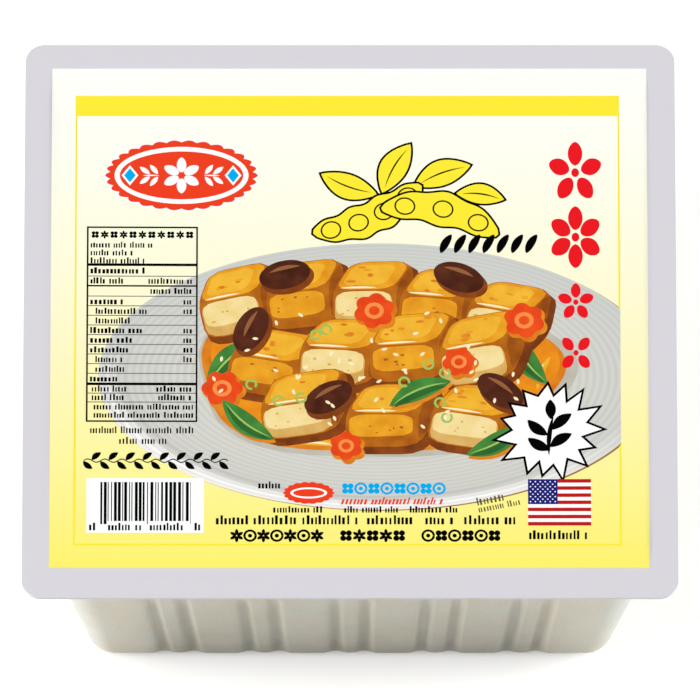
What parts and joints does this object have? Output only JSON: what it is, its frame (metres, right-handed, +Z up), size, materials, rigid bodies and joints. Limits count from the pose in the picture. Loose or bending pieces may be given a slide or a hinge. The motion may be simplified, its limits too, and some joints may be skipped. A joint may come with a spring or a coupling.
{
  "type": "sealed tofu pack",
  "caption": "Shut rectangular tofu tub with leaning, fluted walls and a flat flange, closed by a lidding film with a printed field and a plain border.",
  "frame": {"origin": "middle of the plane the pack stands on, under the centre of the tub's base", "axes": "+Z up out of the film, +X along the longer side of the flange, -Y towards the front wall"},
  "size_m": [0.135, 0.1254, 0.05],
  "materials": {
    "tub_plastic": "milky off-white thermoformed plastic, soft satin gloss",
    "printed_film": "smooth satin lidding film, pale grey border round a white to yellow printed field"
  },
  "bodies": {
    "root": {"tub": "tub_plastic", "lid_film": "printed_film"}
  },
  "joints": []
}
